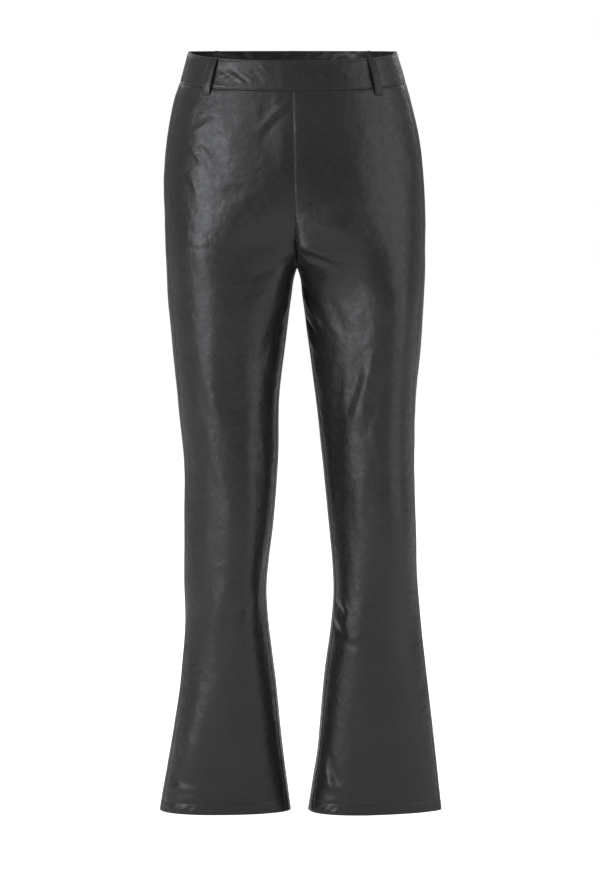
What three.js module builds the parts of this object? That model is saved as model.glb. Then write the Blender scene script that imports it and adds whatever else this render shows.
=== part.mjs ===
// Faux leather trousers in their worn form, hollow and open at the waist and hems.
// Slim through the hip and thigh, flared from below the knee, with a plain front, a straight
// waistband and five belt loops. Millimetres, +Z up, the front towards -Y, the wearer's right
// leg towards -X. The origin is the centre of the waist opening.
import * as THREE from 'three';

// Heights
const CROTCH_Z = -298;
const HEM_Z = -1046;
const SIDE_ROW_AT_CROTCH_Z = -345; // where the row that starts at the crotch meets the side seam
const FRONT_DIP = -24; // the waist's front centre, from its sides
const BACK_RISE = 11.5; // the waist's back centre, from its sides

// Layers and seams
const WALL = 1.2; // one layer of coated cloth
const SEAM_GAP = 0.3;
const BAND_HEIGHT = 41.4;
const BAND_WALL = 2.4; // two layers and their interlining
const BAND_PROUD = 0.4;
const FACING_WALL = 1;
const HEM_DEPTH = 20;
const HEM_WALL = 1.1;
const HEM_GAP = 0.65;

// Belt loops
const LOOP_WIDTH = 12;
const LOOP_WALL = 1.8;
const LOOP_BULGE = 3.4; // room for a belt
const LOOP_DROP = 10; // how far a loop runs below the waistband
const LOOP_TOP_SEAT = BAND_PROUD + SEAM_GAP;
const LOOP_END_SEAT = 0.35;

// Facets
const ACROSS = 10; // columns of one panel
const ROWS_ABOVE_CROTCH = 11;
const ROWS_BELOW_CROTCH = 18;
const BAND_ROWS = 4;
const LOOP_ROWS = 8;
const LOOP_COLUMNS = 2;

// Level sections through both legs. centre is the x of the line between the legs. out and in are
// how far a leg's edges lie from that line; in is negative where a leg's oval runs on past it and
// is cut there by its twin. front and back are the greatest depths and side is the y of the widest
// points. square makes the front half of the oval boxier, from 0 for a plain oval, and full fills
// out its inner front quarter. turn moves the foremost line of a leg out from its middle, as a
// share of its half width.
// sideSeam and inseam say how many degrees a seam lies forward of the widest points.
const SECTION_COLUMNS = ['z', 'centre', 'rightOut', 'rightIn', 'leftOut', 'leftIn',
  'front', 'side', 'back', 'square', 'full', 'rightTurn', 'leftTurn', 'sideSeam', 'inseam'];
const SECTION_ROWS = [
  [20, 0, 138, -138, 138, -138, 97, 0, 99, 0, 0, 0, 0, 15, 0],
  [0, 0, 143, -143, 142.5, -142.5, 100, 0, 102, 0, 0, 0, 0, 15, 0],
  [-41, 0, 154, -154, 154.5, -154.5, 105, 0, 107, 0.04, 0, 0, 0, 15, 0],
  [-66, 0.5, 163.5, -163.5, 162, -162, 109, 0, 111, 0.07, 0, 0, 0, 15, 0],
  [-121, 1.8, 174.5, -174.5, 173, -173, 118, 0, 121, 0.12, 0, 0.01, 0.01, 14, 0],
  [-177, 2.8, 180.5, -160, 178, -158, 122, 1, 130, 0.15, 0, 0.02, 0.02, 14, 0],
  [-232, 4, 180.5, -90, 179, -89, 121, 1, 130, 0.15, 0.45, 0.05, 0.05, 15, 0],
  [-273, 5.2, 180.5, -24, 177, -23.5, 115.5, 0, 122, 0.15, 0.76, 0.06, 0.07, 17, 0],
  [-298, 6, 180, 0.2, 176, 0.2, 114, 0, 114, 0.13, 0.78, 0.03, 0.12, 18, 0],
  [-342, 6, 177.7, 9, 173.5, 8, 111, -3, 103, 0.09, 0.6, -0.01, 0.36, 21, 4],
  [-397, 6, 172.5, 15.7, 170.5, 15, 108, -8, 90, 0.03, 0.35, 0, 0.38, 24, 9],
  [-480, 6.5, 164.7, 25, 162.8, 25.8, 104.5, -14, 74, 0, 0.15, -0.06, 0.3, 21, 14],
  [-563, 9, 158.5, 29, 157.8, 32.5, 101, -20, 60, 0, 0, -0.15, 0.22, 15, 17],
  [-646, 10.5, 159.5, 36.5, 158.6, 38.8, 96, -22, 51, 0, 0, -0.28, 0.22, 13, 18],
  [-729, 10, 159.4, 45, 162, 45.4, 88, -18, 53, 0, 0, -0.32, -0.02, 13, 18],
  [-784, 10, 158.6, 43.2, 167, 43, 83.5, -13, 58, 0, 0, -0.3, -0.15, 13, 18],
  [-867, 9.5, 165, 32.8, 176.8, 33, 77, -8, 65, 0.03, 0, -0.14, -0.12, 14, 18],
  [-949, 9.5, 176, 24.5, 186, 25, 69.5, -2, 71, 0.1, 0, 0.04, -0.18, 15, 18],
  [-1032, 10, 191.5, 14.8, 195, 13.5, 61, 2, 76, 0.12, 0, 0.1, -0.3, 16, 18],
  [-1060, 10, 196, 10.5, 197.5, 10, 58.5, 3, 77, 0.12, 0, 0.1, -0.3, 16, 18],
];

const LEGS = [
  { name: 'right', mirror: -1, out: 'rightOut', in: 'rightIn', turn: 'rightTurn' },
  { name: 'left', mirror: 1, out: 'leftOut', in: 'leftIn', turn: 'leftTurn' },
];
const FACES = [
  { name: 'front', forward: 1 },
  { name: 'back', forward: -1 },
];

const LEATHER = { color: 0x38393b, roughness: 0.38, metalness: 0 };
const LEATHER_INSIDE = { color: 0x2b2b2d, roughness: 0.5, metalness: 0 };

const radians = THREE.MathUtils.degToRad;
const lerp = THREE.MathUtils.lerp;

// ---- The surface of the worn cloth ----

const SECTIONS = SECTION_ROWS.map(
  (row) => Object.fromEntries(SECTION_COLUMNS.map((column, i) => [column, row[i]])));

// The slope of a column at a section, for a smooth curve through the table
function slopeAt(index, column) {
  const above = SECTIONS[Math.max(index - 1, 0)];
  const below = SECTIONS[Math.min(index + 1, SECTIONS.length - 1)];
  return (below[column] - above[column]) / (below.z - above.z);
}

function sectionAt(z) {
  let index = 0;
  while (index < SECTIONS.length - 2 && z < SECTIONS[index + 1].z) index += 1;
  const start = SECTIONS[index];
  const end = SECTIONS[index + 1];
  const span = end.z - start.z;
  const t = (z - start.z) / span;
  const section = {};
  for (const column of SECTION_COLUMNS) {
    const startPull = slopeAt(index, column) * span;
    const endPull = slopeAt(index + 1, column) * span;
    section[column] = (2 * t ** 3 - 3 * t ** 2 + 1) * start[column]
      + (t ** 3 - 2 * t ** 2 + t) * startPull
      + (3 * t ** 2 - 2 * t ** 3) * end[column]
      + (t ** 3 - t ** 2) * endPull;
  }
  return section;
}

function oval(leg, z) {
  const section = sectionAt(z);
  const middle = (section[leg.out] + section[leg.in]) / 2;
  const halfWidth = (section[leg.out] - section[leg.in]) / 2;
  return { section, middle, halfWidth };
}

// A point of the cloth. angle runs from 0 at a leg's inner side to 180 degrees at its outer side,
// over the front where it is positive and over the back where it is negative.
function surfacePoint(leg, angle, z) {
  const { section, middle, halfWidth } = oval(leg, z);
  const over = Math.sin(angle);
  const filled = Math.cos(angle) > 0 ? over / (1 - section.full * (1 - over)) : over;
  const forward = over > 0
    ? (section.front + section.side) * (1 - section[leg.turn] * Math.cos(angle))
      * filled ** (1 - section.square)
    : (section.back - section.side) * over;
  return new THREE.Vector3(
    section.centre + leg.mirror * (middle - halfWidth * Math.cos(angle)),
    section.side - forward,
    z);
}

// The same point moved out along the surface's normal, or in where offset is negative
function offsetPoint(leg, angle, z, offset) {
  const step = 0.5;
  const turn = radians(0.5);
  const around = surfacePoint(leg, angle + turn, z).sub(surfacePoint(leg, angle - turn, z));
  const up = surfacePoint(leg, angle, z + step).sub(surfacePoint(leg, angle, z - step));
  const normal = around.cross(up).normalize().multiplyScalar(leg.mirror);
  return surfacePoint(leg, angle, z).addScaledVector(normal, offset);
}

function turnPerMillimetre(leg, angle, z) {
  const turn = radians(1);
  return turn / surfacePoint(leg, angle + turn, z).distanceTo(surfacePoint(leg, angle, z));
}

// ---- Seam lines ----

// The waist dips towards its front centre and rises towards its back centre
function waistZ(angle, drop) {
  const forward = Math.sin(angle);
  return (forward > 0 ? FRONT_DIP : -BACK_RISE) * forward - drop;
}

function sideSeamAngle(face, z) {
  const forward = radians(sectionAt(z).sideSeam);
  return face.forward > 0 ? Math.PI - forward : -(Math.PI + forward);
}

// Where a leg's oval meets its twin above the crotch, and the inseam below it
function innerSeamAngle(leg, face, z) {
  const { section, middle, halfWidth } = oval(leg, z);
  if (z <= CROTCH_Z) return radians(section.inseam);
  const reach = THREE.MathUtils.clamp((middle - SEAM_GAP / 2) / halfWidth, -1, 1);
  return face.forward * Math.acos(reach);
}

// Heights that split the seam from the waistband to the crotch into even lengths
function centreSeamHeights(leg, face, count) {
  const samples = 400;
  const top = waistZ(face.forward * Math.PI / 2, BAND_HEIGHT + SEAM_GAP);
  const heights = [];
  const lengths = [0];
  let previous = null;
  for (let i = 0; i <= samples; i += 1) {
    const z = CROTCH_Z + (top - CROTCH_Z) * (1 - i / samples) ** 2;
    const point = surfacePoint(leg, innerSeamAngle(leg, face, z + 1e-6), z);
    if (previous) lengths.push(lengths[i - 1] + point.distanceTo(previous));
    heights.push(z);
    previous = point;
  }
  return Array.from({ length: count + 1 }, (_, k) => {
    const wanted = lengths[samples] * k / count;
    const i = Math.max(1, lengths.findIndex((length) => length >= wanted - 1e-9));
    const share = (wanted - lengths[i - 1]) / (lengths[i] - lengths[i - 1]);
    return lerp(heights[i - 1], heights[i], share);
  });
}

// ---- Closed walls ----

// A wall between an outer and an inner grid of points. With closed, the columns join up in a ring.
function wallGeometry(outer, inner, closed = false) {
  const rows = outer.length;
  const columns = outer[0].length;
  const positions = [...outer.flat(), ...inner.flat()].flatMap((point) => point.toArray());
  const index = [];
  const quad = (a, b, c, d) => index.push(a, b, c, a, c, d);
  const out = (i, j) => i * columns + (j % columns);
  const inn = (i, j) => rows * columns + out(i, j);
  const lastColumn = closed ? columns : columns - 1;
  for (let i = 0; i < rows - 1; i += 1) {
    for (let j = 0; j < lastColumn; j += 1) {
      quad(out(i, j), out(i + 1, j), out(i + 1, j + 1), out(i, j + 1));
      quad(inn(i, j), inn(i, j + 1), inn(i + 1, j + 1), inn(i + 1, j));
    }
  }
  for (let j = 0; j < lastColumn; j += 1) {
    quad(out(0, j), out(0, j + 1), inn(0, j + 1), inn(0, j));
    quad(out(rows - 1, j), inn(rows - 1, j), inn(rows - 1, j + 1), out(rows - 1, j + 1));
  }
  for (let i = 0; i < rows - 1 && !closed; i += 1) {
    quad(out(i, 0), inn(i, 0), inn(i + 1, 0), out(i + 1, 0));
    quad(out(i, columns - 1), out(i + 1, columns - 1), inn(i + 1, columns - 1), inn(i, columns - 1));
  }
  const geometry = new THREE.BufferGeometry();
  geometry.setAttribute('position', new THREE.Float32BufferAttribute(positions, 3));
  geometry.setIndex(facesOut(positions, index));
  geometry.computeVertexNormals();
  return geometry;
}

// Turns every triangle over if together they enclose a negative volume
function facesOut(positions, index) {
  const corner = (i) => new THREE.Vector3().fromArray(positions, 3 * i);
  let volume = 0;
  for (let i = 0; i < index.length; i += 3) {
    volume += corner(index[i]).dot(corner(index[i + 1]).cross(corner(index[i + 2])));
  }
  return volume > 0 ? index : index.reverse();
}

// A wall whose grid of places (leg, angle, z) is given once and offset to both its faces
function wallAt(places, outerOffset, innerOffset, closed = false) {
  const grid = (offset) => places.map((row) => row.map((place) => offsetPoint(
    place.leg, place.angle, place.z, place.lift === undefined ? offset : offset + place.lift)));
  return wallGeometry(grid(outerOffset), grid(innerOffset), closed);
}

// ---- Pieces ----

// The angles of a panel's columns on a row, from its inner seam to its side seam
function panelAngles(leg, face, innerZ, sideZ) {
  const seam = turnPerMillimetre(leg, sideSeamAngle(face, sideZ), sideZ) * SEAM_GAP / 2;
  const sideAngle = sideSeamAngle(face, sideZ) - face.forward * seam;
  let innerAngle = innerSeamAngle(leg, face, innerZ);
  if (innerZ <= CROTCH_Z) {
    innerAngle += face.forward * turnPerMillimetre(leg, innerAngle, innerZ) * SEAM_GAP / 2;
  }
  return Array.from({ length: ACROSS + 1 }, (_, j) => lerp(innerAngle, sideAngle, j / ACROSS));
}

// A panel's row, which leaves both its seams level. tilt is 1 on the row along the waistband,
// which follows the tilted waist, and fades to 0 below it.
function panelRow(leg, face, innerZ, sideZ, tilt) {
  const angles = panelAngles(leg, face, innerZ, sideZ);
  const waist = angles.map((angle) => waistZ(angle, 0));
  return angles.map((angle, j) => {
    const u = j / ACROSS;
    const level = u * u * (3 - 2 * u);
    const dip = waist[j] - lerp(waist[0], waist[ACROSS], level);
    return { leg, angle, z: lerp(innerZ, sideZ, level) + tilt * dip };
  });
}

function panel(leg, face) {
  const innerHeights = centreSeamHeights(leg, face, ROWS_ABOVE_CROTCH);
  const sideTop = waistZ(sideSeamAngle(face, -BAND_HEIGHT), BAND_HEIGHT + SEAM_GAP);
  const places = [];
  innerHeights.forEach((innerZ, k) => {
    const share = k / ROWS_ABOVE_CROTCH;
    const sideZ = lerp(sideTop, SIDE_ROW_AT_CROTCH_Z, share);
    places.push(panelRow(leg, face, innerZ, sideZ, Math.max(0, 1 - 2 * share)));
  });
  for (let k = 1; k <= ROWS_BELOW_CROTCH; k += 1) {
    const share = k / ROWS_BELOW_CROTCH;
    const innerZ = lerp(CROTCH_Z, HEM_Z, share);
    const sideZ = lerp(SIDE_ROW_AT_CROTCH_Z, HEM_Z, share);
    places.push(panelRow(leg, face, innerZ, sideZ, 0));
  }
  return wallAt(places, 0, -WALL);
}

// One half of the waistband, from side seam to side seam
function bandPlaces(face) {
  const gap = radians(SEAM_GAP * 0.2);
  const side = sideSeamAngle(face, 0) - face.forward * gap;
  const centre = face.forward * Math.PI / 2;
  return Array.from({ length: BAND_ROWS + 1 }, (_, i) => {
    const drop = BAND_HEIGHT * i / BAND_ROWS;
    const place = (leg, angle) => ({ leg, angle, z: waistZ(angle, drop) });
    const row = [];
    for (let j = 0; j <= ACROSS; j += 1) {
      row.push(place(LEGS[0], lerp(side, centre, j / ACROSS)));
    }
    for (let j = 1; j <= ACROSS; j += 1) {
      row.push(place(LEGS[1], lerp(centre, side, j / ACROSS)));
    }
    return row;
  });
}

function waistband(face) {
  return wallAt(bandPlaces(face), BAND_PROUD, BAND_PROUD - BAND_WALL);
}

function waistbandFacing(face) {
  const outside = BAND_PROUD - BAND_WALL - SEAM_GAP;
  return wallAt(bandPlaces(face), outside, outside - FACING_WALL);
}

// The turned-up allowance inside a hem, on the panels' own columns
function hemTurnUp(leg) {
  const [front, back] = FACES;
  const rows = 2;
  const places = Array.from({ length: rows + 1 }, (_, i) => {
    const z = HEM_Z + HEM_DEPTH * (1 - i / rows);
    const over = panelAngles(leg, front, HEM_Z, HEM_Z);
    const under = panelAngles(leg, back, HEM_Z, HEM_Z).reverse();
    return [...over, ...under].map((angle) => ({ leg, angle, z }));
  });
  const outside = -WALL - HEM_GAP;
  return wallAt(places, outside, outside - HEM_WALL, true);
}

function beltLoop(leg, angle) {
  const midZ = waistZ(angle, BAND_HEIGHT / 2);
  const halfTurn = turnPerMillimetre(leg, angle, midZ) * LOOP_WIDTH / 2;
  const places = Array.from({ length: LOOP_ROWS + 1 }, (_, i) => {
    const share = i / LOOP_ROWS;
    const drop = (BAND_HEIGHT + LOOP_DROP) * share;
    const seat = lerp(LOOP_TOP_SEAT, LOOP_END_SEAT, share);
    const lift = seat + LOOP_BULGE * Math.sin(Math.PI * share) ** 0.8;
    return Array.from({ length: LOOP_COLUMNS + 1 }, (_, j) => {
      const turned = angle + halfTurn * (2 * j / LOOP_COLUMNS - 1);
      const onTwin = Math.abs(turned) < Math.PI / 2;
      return {
        leg: onTwin ? LEGS.find((other) => other !== leg) : leg,
        angle: onTwin ? Math.sign(turned) * Math.PI - turned : turned,
        z: waistZ(angle, drop),
        lift,
      };
    });
  });
  return wallAt(places, LOOP_WALL, 0);
}

// ---- The garment ----

const trousers = new THREE.Group();

function add(name, geometry, finish) {
  const mesh = new THREE.Mesh(geometry, new THREE.MeshStandardMaterial(finish));
  mesh.name = name;
  trousers.add(mesh);
}

for (const face of FACES) {
  for (const leg of LEGS) {
    add(`${face.name}_${leg.name}`, panel(leg, face), LEATHER);
  }
  add(`waistband_${face.name}`, waistband(face), LEATHER);
}
add('waistband_back_facing', waistbandFacing(FACES[1]), LEATHER_INSIDE);

for (const leg of LEGS) {
  add(`hem_turn_up_${leg.name}`, hemTurnUp(leg), LEATHER_INSIDE);
}

// Belt loops: one each side at the front and at the back, and one at the back centre
const LOOP_PLACES = [
  { name: 'front_right', leg: LEGS[0], degrees: 135.5 },
  { name: 'front_left', leg: LEGS[1], degrees: 135.5 },
  { name: 'back_right', leg: LEGS[0], degrees: -137 },
  { name: 'back_centre', leg: LEGS[1], degrees: -90 },
  { name: 'back_left', leg: LEGS[1], degrees: -137 },
];
for (const { name, leg, degrees } of LOOP_PLACES) {
  add(`belt_loop_${name}`, beltLoop(leg, radians(degrees)), LEATHER);
}

export default trousers;
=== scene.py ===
"""Faux leather trousers in their worn form: the looks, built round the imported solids.

Shapes are worked out in millimetres in the frame's own axes (front towards -Y, the wearer's
right leg towards -X, origin at the centre of the waist opening) and made in metres.
"""

import math

import bpy
import numpy as np
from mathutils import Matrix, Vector


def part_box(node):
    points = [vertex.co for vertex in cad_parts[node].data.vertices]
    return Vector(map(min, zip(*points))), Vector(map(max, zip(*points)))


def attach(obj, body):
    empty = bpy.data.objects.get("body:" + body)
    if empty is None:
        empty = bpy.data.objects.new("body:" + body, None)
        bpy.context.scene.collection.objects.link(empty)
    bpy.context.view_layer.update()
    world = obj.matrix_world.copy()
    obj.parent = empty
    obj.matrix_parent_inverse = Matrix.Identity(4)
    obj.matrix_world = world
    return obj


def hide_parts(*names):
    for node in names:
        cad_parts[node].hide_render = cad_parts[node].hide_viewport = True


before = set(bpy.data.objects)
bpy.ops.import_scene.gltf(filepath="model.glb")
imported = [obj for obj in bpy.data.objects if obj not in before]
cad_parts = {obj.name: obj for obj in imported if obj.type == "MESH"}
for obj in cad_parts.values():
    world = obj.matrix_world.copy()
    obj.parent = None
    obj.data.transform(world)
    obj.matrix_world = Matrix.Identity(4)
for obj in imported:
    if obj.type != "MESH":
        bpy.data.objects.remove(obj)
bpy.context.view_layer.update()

MM = 0.001

# ---- Sizes, as in the solids ----

CROTCH_Z = -298.0
HEM_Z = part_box("front_right")[0].z / MM
SIDE_ROW_AT_CROTCH_Z = -345.0
FRONT_DIP = -24.0
BACK_RISE = 11.5
WALL = 1.2
BAND_HEIGHT = 41.4
BAND_PROUD = 0.4
BAND_WALL = 2.4
FACING_WALL = 1.0
HEM_DEPTH = 20.0

# Level sections through both legs. centre is the x of the line between the legs. out and in are
# how far a leg's edges lie from it, negative where a leg's oval runs on past it to its twin.
# front and back are the greatest depths and side is the y of the widest points. square makes the
# front half of the oval boxier, from 0 for a plain oval, and full fills out its inner front
# quarter. turn moves the foremost line of a leg out from its middle, as a share of its half
# width. side_seam and inseam say how many degrees a seam lies forward of the widest points.
SECTION_COLUMNS = ("z", "centre", "right_out", "right_in", "left_out", "left_in", "front", "side",
                   "back", "square", "full", "right_turn", "left_turn", "side_seam", "inseam")
SECTION_ROWS = (
    (20, 0, 138, -138, 138, -138, 97, 0, 99, 0, 0, 0, 0, 15, 0),
    (0, 0, 143, -143, 142.5, -142.5, 100, 0, 102, 0, 0, 0, 0, 15, 0),
    (-41, 0, 154, -154, 154.5, -154.5, 105, 0, 107, 0.04, 0, 0, 0, 15, 0),
    (-66, 0.5, 163.5, -163.5, 162, -162, 109, 0, 111, 0.07, 0, 0, 0, 15, 0),
    (-121, 1.8, 174.5, -174.5, 173, -173, 118, 0, 121, 0.12, 0, 0.01, 0.01, 14, 0),
    (-177, 2.8, 180.5, -160, 178, -158, 122, 1, 130, 0.15, 0, 0.02, 0.02, 14, 0),
    (-232, 4, 180.5, -90, 179, -89, 121, 1, 130, 0.15, 0.45, 0.05, 0.05, 15, 0),
    (-273, 5.2, 180.5, -24, 177, -23.5, 115.5, 0, 122, 0.15, 0.76, 0.06, 0.07, 17, 0),
    (-298, 6, 180, 0.2, 176, 0.2, 114, 0, 114, 0.13, 0.78, 0.03, 0.12, 18, 0),
    (-342, 6, 177.7, 9, 173.5, 8, 111, -3, 103, 0.09, 0.6, -0.01, 0.36, 21, 4),
    (-397, 6, 172.5, 15.7, 170.5, 15, 108, -8, 90, 0.03, 0.35, 0, 0.38, 24, 9),
    (-480, 6.5, 164.7, 25, 162.8, 25.8, 104.5, -14, 74, 0, 0.15, -0.06, 0.3, 21, 14),
    (-563, 9, 158.5, 29, 157.8, 32.5, 101, -20, 60, 0, 0, -0.15, 0.22, 15, 17),
    (-646, 10.5, 159.5, 36.5, 158.6, 38.8, 96, -22, 51, 0, 0, -0.28, 0.22, 13, 18),
    (-729, 10, 159.4, 45, 162, 45.4, 88, -18, 53, 0, 0, -0.32, -0.02, 13, 18),
    (-784, 10, 158.6, 43.2, 167, 43, 83.5, -13, 58, 0, 0, -0.3, -0.15, 13, 18),
    (-867, 9.5, 165, 32.8, 176.8, 33, 77, -8, 65, 0.03, 0, -0.14, -0.12, 14, 18),
    (-949, 9.5, 176, 24.5, 186, 25, 69.5, -2, 71, 0.1, 0, 0.04, -0.18, 15, 18),
    (-1032, 10, 191.5, 14.8, 195, 13.5, 61, 2, 76, 0.12, 0, 0.1, -0.3, 16, 18),
    (-1060, 10, 196, 10.5, 197.5, 10, 58.5, 3, 77, 0.12, 0, 0.1, -0.3, 16, 18),
)

RIGHT, LEFT = "right", "left"
MIRROR = {RIGHT: -1.0, LEFT: 1.0}
FRONT, BACK = "front", "back"
FORWARD = {FRONT: 1.0, BACK: -1.0}

# ---- Layers and resolution of the shells ----

SEAM_GAP = 0.04  # sewn tighter than the solids, which leave 0.3
HEM_GAP = 0.4  # between a panel and its turned-up hem
HEM_WALL = 1.1
ALLOWANCE_ROOM = 1.1  # what a hem steps in by, to pass over a seam's allowances

MIDDLE_COLUMNS = 76
BAND_COLUMNS = 240

# A panel's usual length above and below the crotch, which turns distances into shares
RISE_LENGTH = 260
LEG_LENGTH = 725
HEM_ROWS_REACH = 24.5

# Shares of the way down a panel from the waistband to the crotch, and from there to the hem. The
# rows are closer together along the waist seam, the hem's stitch line and its fold.
SHARES_ABOVE = np.concatenate([(0, 0.0007, 0.0018, 0.0034, 0.0056, 0.0085, 0.0125),
                               np.linspace(0.018, 1, 108)])
HEM_STITCH = 15.0
HEM_STEPS = np.array((21.0, 18.6, 17.2, 16.3, 15.6, HEM_STITCH, 14.4, 13.7, 12.8, 11.4, 9.0, 6.4,
                      4.2, 2.6, 1.5, 0.8, 0.3, 0.0))
SHARES_BELOW = np.concatenate([np.linspace(0, 1 - HEM_ROWS_REACH / LEG_LENGTH, 206)[1:],
                               1 - HEM_STEPS / LEG_LENGTH])

# Distances from a seam's fold, along the panel and then along the allowance that is pressed
# back under it
EDGE_STEPS = np.array((0.0, 0.2, 0.5, 0.9, 1.5, 2.3, 3.4, 4.8, 6.8, 9.4))
ALLOWANCE_STEPS = np.array((9.8, 5.0, 1.6, 0.5, 0.1, 0.0))
ALLOWANCE_LIFTS = np.array((-2.6, -2.6, -2.55, -2.35, -1.9, -1.2))
ALLOWANCE_INNER_STEPS = np.array((9.8, 5.0, 2.2, 1.5, 1.25, 1.15))
ALLOWANCE_INNER_LIFTS = np.array((-1.45, -1.45, -1.45, -1.42, -1.36, -1.28))
FOLD_RADIUS = 0.5


# ---- The surface of the worn cloth ----

TABLE = np.array(SECTION_ROWS, float)
SLOPES = np.empty_like(TABLE)
for _i in range(len(TABLE)):
    _above, _below = TABLE[max(_i - 1, 0)], TABLE[min(_i + 1, len(TABLE) - 1)]
    SLOPES[_i] = (_below - _above) / (_below[0] - _above[0])


def section(z):
    """Every column of the table at heights z, on a smooth curve through the rows."""
    z = np.asarray(z, float)
    index = np.clip(np.searchsorted(-TABLE[:, 0], -z, side="right") - 1, 0, len(TABLE) - 2)
    start, end = TABLE[index], TABLE[index + 1]
    span = (end - start)[..., :1]
    t = (z[..., None] - start[..., :1]) / span
    value = ((2 * t ** 3 - 3 * t ** 2 + 1) * start + (t ** 3 - 2 * t ** 2 + t) * SLOPES[index] * span
             + (3 * t ** 2 - 2 * t ** 3) * end + (t ** 3 - t ** 2) * SLOPES[index + 1] * span)
    return {name: value[..., i] for i, name in enumerate(SECTION_COLUMNS)}


def oval(leg, z):
    s = section(z)
    middle = (s[leg + "_out"] + s[leg + "_in"]) / 2
    half_width = (s[leg + "_out"] - s[leg + "_in"]) / 2
    return s, middle, half_width


def surface(leg, angle, z):
    """Points of the cloth. angle is 0 at a leg's inner side and pi at its outer side, over the
    front where it is positive and over the back where it is negative."""
    s, middle, half_width = oval(leg, z)
    over = np.sin(angle)
    front = (s["front"] + s["side"]) * (1 - s[leg + "_turn"] * np.cos(angle))
    filled = np.where(np.cos(angle) > 0, over / (1 - s["full"] * (1 - over)), over)
    front = front * np.maximum(filled, 0) ** (1 - s["square"])
    x = s["centre"] + MIRROR[leg] * (middle - half_width * np.cos(angle))
    y = s["side"] - np.where(over > 0, front, (s["back"] - s["side"]) * over)
    return np.stack([x, y, np.broadcast_to(z, x.shape)], axis=-1)


def normal(leg, angle, z):
    turn, step = math.radians(0.5), 0.5
    around = surface(leg, angle + turn, z) - surface(leg, angle - turn, z)
    up = surface(leg, angle, z + step) - surface(leg, angle, z - step)
    out = np.cross(around, up) * MIRROR[leg]
    return out / np.linalg.norm(out, axis=-1, keepdims=True)


def angle_per_mm(leg, angle, z):
    turn = math.radians(1)
    gap = surface(leg, angle + turn, z) - surface(leg, angle, z)
    return turn / np.linalg.norm(gap, axis=-1)


def waist_z(angle, drop):
    forward = np.sin(angle)
    return np.where(forward > 0, FRONT_DIP, -BACK_RISE) * forward - drop


def side_seam_angle(face, z):
    forward = np.radians(section(z)["side_seam"])
    return math.pi - forward if face == FRONT else -(math.pi + forward)


def inner_seam_angle(leg, face, z):
    """Where a leg's oval meets its twin above the crotch, and the inseam below it."""
    s, middle, half_width = oval(leg, z)
    reach = np.clip((middle - SEAM_GAP / 2) / half_width, -1, 1)
    return np.where(z <= CROTCH_Z, np.radians(s["inseam"]), FORWARD[face] * np.arccos(reach))


def centre_seam_heights(leg, face, shares):
    """Heights at those shares of the seam's length from the waistband to the crotch."""
    top = float(waist_z(FORWARD[face] * math.pi / 2, BAND_HEIGHT + SEAM_GAP))
    z = CROTCH_Z + (top - CROTCH_Z) * np.linspace(1, 0, 1200) ** 2
    points = surface(leg, inner_seam_angle(leg, face, z + 1e-6), z)
    lengths = np.concatenate([[0], np.cumsum(np.linalg.norm(np.diff(points, axis=0), axis=1))])
    return np.interp(lengths[-1] * shares, lengths, z)


def at(leg, angle, z, lift):
    return surface(leg, angle, z) + normal(leg, angle, z) * np.asarray(lift)[..., None]


def smoothstep(t):
    t = np.clip(t, 0, 1)
    return t * t * (3 - 2 * t)


# ---- Smooth noise, the same each run ----

def smooth_noise(points, scale, seed, size=32):
    """Smooth values from -1 to 1 at points, with features about scale long on each axis."""
    values = np.random.default_rng(seed).uniform(-1, 1, (size, size, size))
    where = points / np.asarray(scale, float) + 100.0
    cell = np.floor(where).astype(int)
    t = where - cell
    t = t * t * t * (t * (6 * t - 15) + 10)
    total = 0.0
    for corner in np.ndindex(2, 2, 2):
        weight = np.prod(np.where(np.array(corner) == 1, t, 1 - t), axis=-1)
        i, j, k = ((cell[..., n] + corner[n]) % size for n in range(3))
        total = total + weight * values[i, j, k]
    return total
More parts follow.
